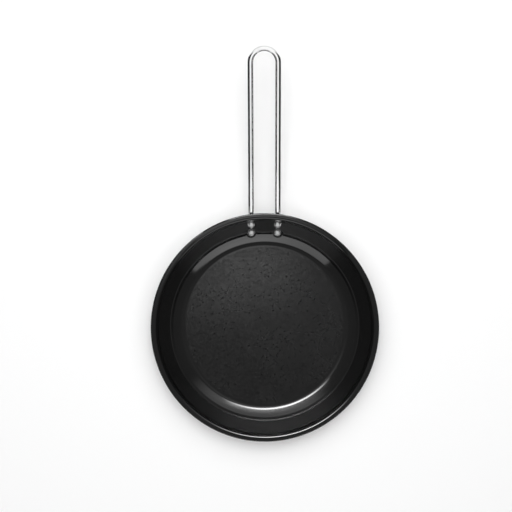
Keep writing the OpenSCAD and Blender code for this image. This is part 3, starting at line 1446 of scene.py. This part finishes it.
@dataclass
class Studio:
    """The floor, the soft light and the camera."""

    rim_z: float
    mirror: bpy.types.Object
    view_w: float = 469.5
    camera_above_rim: float = 985.0
    camera_x: float = -8.2
    camera_y: float = 65.6
    camera_turn: float = -0.22
    sensor: float = 36.0
    sky_fill: float = 0.04
    sky_top: float = 1.0
    sky_low: float = 0.62
    sky_rise: tuple[float, float] = (0.1, 0.75)
    sky_again: float = 3.3
    floor_grey: float = 0.9
    floor_glow: float = 0.05
    floor_half: float = 12.0
    white_out: tuple[float, float] = (0.45, 0.85)
    soft_box_away: float = 1.1
    tail_away: float = 1.32
    window_away: float = 1.8
    flag_x: float = 0.06
    flag_start: float = 0.093
    flag_stop: float = 0.262
    flag_low: float = 0.001
    flag_rise: float = 0.045
    flag_tops: tuple[float, float] = (0.125, 0.12)
    flag_dark: float = 0.03
    flag_reach: float = 0.125
    under_start: float = 0.1
    end_start: float = 0.05
    end_heights: tuple[float, float] = (0.05, 0.085)

    def place_camera(self) -> None:
        """Hangs the camera above the pan, looking straight down."""
        turn = math.radians(self.camera_turn)
        data = bpy.data.cameras.new("camera")
        data.sensor_width = self.sensor
        data.lens = self.sensor * self.camera_above_rim / self.view_w
        camera = placed("camera", data)
        x = self.camera_x * math.cos(turn) - self.camera_y * math.sin(turn)
        y = self.camera_x * math.sin(turn) + self.camera_y * math.cos(turn)
        camera.location = Vector((x, y, self.camera_above_rim + self.rim_z)) * MM
        camera.rotation_euler = (0.0, 0.0, turn)
        bpy.context.scene.camera = camera
        bpy.context.scene.view_settings.view_transform = "Standard"

    def light_world(self) -> None:
        """A white sky for the camera and for reflections, and a dimmer one as fill light."""
        world = bpy.data.worlds.new("studio")
        bpy.context.scene.world = world
        world.use_nodes = True
        world.node_tree.nodes.clear()
        t = Tree(world.node_tree)
        path = t.add("ShaderNodeLightPath").outputs
        seen = t.math("MAXIMUM", path["Is Glossy Ray"], path["Is Transmission Ray"])
        way = t.add("ShaderNodeSeparateXYZ", t.add("ShaderNodeTexCoord").outputs["Generated"]).outputs
        shine = t.span(way[2], *self.sky_rise, self.sky_low, self.sky_top)
        again = t.span(path["Glossy Depth"], 1.0, 2.0, 1.0, self.sky_again, smooth=False)
        strength = t.mix(seen, self.sky_fill, t.math("MULTIPLY", shine, again))
        strength = t.math("MAXIMUM", strength, path["Is Camera Ray"])
        sky = t.add("ShaderNodeBackground", WHITE, strength)
        t.add("ShaderNodeOutputWorld", sky.outputs[0])

    def lay_floor(self) -> None:
        """A plain white floor that fades into the white sky far out, and hides nothing from below."""
        t, material = Tree.material("white_floor")
        grey = self.floor_grey
        paint = t.add("ShaderNodeBsdfDiffuse", (grey, grey, grey, 1.0)).outputs[0]
        path = t.add("ShaderNodeLightPath").outputs
        seen = t.math("MAXIMUM", path["Is Camera Ray"], path["Is Glossy Ray"])
        seen = t.math("MAXIMUM", seen, path["Is Transmission Ray"])
        glow = t.add("ShaderNodeEmission", WHITE, t.math("MULTIPLY", seen, self.floor_glow)).outputs[0]
        near = t.add("ShaderNodeAddShader", paint, glow).outputs[0]
        place = t.add("ShaderNodeTexCoord").outputs["Object"]
        far = t.math("MULTIPLY", t.span(t.axis_distance(place), *self.white_out), path["Is Camera Ray"])
        above = t.add("ShaderNodeMixShader", far, near, t.add("ShaderNodeEmission", WHITE, 1.0).outputs[0])
        below = t.add("ShaderNodeNewGeometry").outputs["Backfacing"]
        clear = t.add("ShaderNodeBsdfTransparent").outputs[0]
        either = t.add("ShaderNodeMixShader", below, above.outputs[0], clear)
        t.add("ShaderNodeOutputMaterial", either.outputs[0])
        h = self.floor_half
        quad("floor", ((-h, -h, 0), (h, -h, 0), (h, h, 0), (-h, h, 0)), material)

    def soft_box(self) -> list[Card]:
        """The strong soft box beyond the handle, its tail below it and its near glow over the floor.

        Returns:
            The cards.
        """
        west, east, south, north, up = -0.12, 0.07, -0.01, 0.155, 0.155
        near = ((west, south, up), (east, south, up), (east, north, up), (west, north, up))
        box = far_off(self.soft_box_away, (-54, 66), (31, 69), (38, 54.5), (-58, 45))
        core = far_off(self.soft_box_away, (-36, 66), (20, 69), (20, 55), (-36, 51))
        tail = far_off(self.tail_away, (-50, 83), (60, 83), (60, 58), (-50, 58))
        return [Card("soft_box", box, 84.0, soft=0.8, again=0.8),
                Card("soft_box_core", core, 18.0, soft=0.95, again=0.5),
                Card("soft_box_tail", tail, 5.1, soft=0.8),
                Card("near_glow", near, 4.6, soft=0.9)]

    def window(self) -> list[Card]:
        """The low bright window on the side away from the handle, with sharp ends.

        Returns:
            The cards.
        """
        pane = far_off(self.window_away, (131, 90), (131, 73), (222, 70), (222, 90))
        core = far_off(self.window_away, (132, 86), (132, 66), (206, 60), (206, 86))
        return [Card("window", pane, 5.0, again=5.0), Card("window_core", core, 2.3, soft=0.9)]

    def handle_flags(self) -> list[Card]:
        """Dark flags under the handle and beside it, which give its wire dark edges.

        The side flags begin outside the rim, and their short ends reach over it.

        Returns:
            The cards.
        """
        x, near, far, low = self.flag_x, self.under_start, self.flag_stop, self.flag_low
        under = ((-x, near, low), (x, near, low), (x, far, low), (-x, far, low))
        flags = [Card("under_flag", under, self.flag_dark, pan_only=False)]
        near, end = self.flag_start, self.end_start
        end_low, end_high = self.end_heights
        for side, top in zip(Side, self.flag_tops):
            x = side.value * self.flag_x
            main = ((x, near, low), (x, far, low), (x, far, top + self.flag_rise), (x, near, top))
            over = ((x, end, end_low), (x, near, end_low), (x, near, end_high), (x, end, end_high))
            for label, corners in (("flag", main), ("flag_end", over)):
                flags.append(Card(f"{side.name.lower()}_{label}", corners, self.flag_dark, pan_only=False,
                                  reach=self.flag_reach))
        return flags

    def build(self) -> None:
        """Sets up the whole studio."""
        self.place_camera()
        self.light_world()
        self.lay_floor()
        for lamp in (Lamp("wide_lamp", 1.05, north=9.0, west=0.5, level=0.67),
                     Lamp("small_lamp", 0.3, north=13.0, west=0.5, level=0.3),
                     Lamp("key_lamp", 0.07, north=3.0, west=0.0, level=0.09)):
            lamp.hang()
        pan_alone = bpy.data.collections.new("pan_alone")
        pan_alone.objects.link(self.mirror)
        for card in self.soft_box() + self.window() + self.handle_flags():
            card.hang(pan_alone)


def write_sizes() -> None:
    """Brings the scene's object placements up to date."""
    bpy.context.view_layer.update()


def main() -> None:
    """Builds the pan, its parts and the studio around it."""
    logging.basicConfig(level=logging.INFO, format="%(name)s: %(message)s")
    pan, joint = PanSizes(), JointSizes()
    pad = PadFrame(pan)
    shell = PanShell(pan, joint, pad).build()
    BaseDisc(pan).build()
    Handle(pan, joint, pad).build()
    Rivets(pan, joint, pad).build()
    Studio(rim_z=pan.rim_z, mirror=shell).build()
    write_sizes()


if __name__ == "__main__":
    main()
